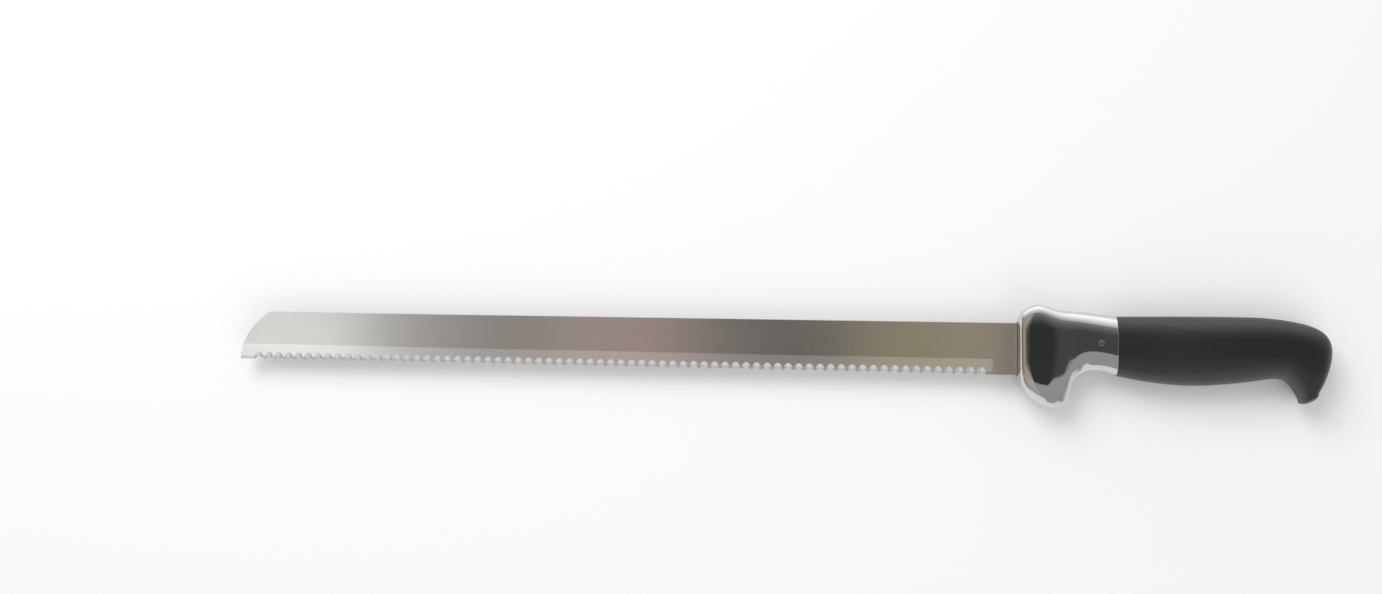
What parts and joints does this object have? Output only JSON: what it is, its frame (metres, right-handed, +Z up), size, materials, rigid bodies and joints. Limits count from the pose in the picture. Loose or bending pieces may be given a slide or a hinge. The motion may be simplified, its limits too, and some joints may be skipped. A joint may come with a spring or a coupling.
{
  "type": "bread knife",
  "caption": "Long slender knife with a scalloped edge ground on one side, a polished bolster with a finger guard, and a black hooked grip.",
  "frame": {"origin": "on the surface that the knife lies on, under the middle of its bounding box", "axes": "+X from the tip to the butt, +Y from the cutting edge to the spine, +Z up from the surface, with the ground side of the edge facing up"},
  "size_m": [0.488, 0.046, 0.0208],
  "materials": {
    "blade_steel": "satin, fine marks along the blade",
    "bolster_chrome": "mirror polished plating",
    "pin_steel": "ground flush and polished",
    "seal_rubber": "matte",
    "core_polymer": "plain moulded",
    "rivet_aluminium": "plain",
    "grip_black": "fine matte moulded grain"
  },
  "bodies": {
    "root": {"blade": "blade_steel", "bolster": "bolster_chrome", "bolster_pin": "pin_steel", "blade_seal": "seal_rubber", "core_left_half": "core_polymer", "core_right_half": "core_polymer", "core_rivet_front": "rivet_aluminium", "core_rivet_rear": "rivet_aluminium", "grip": "grip_black"}
  },
  "joints": []
}
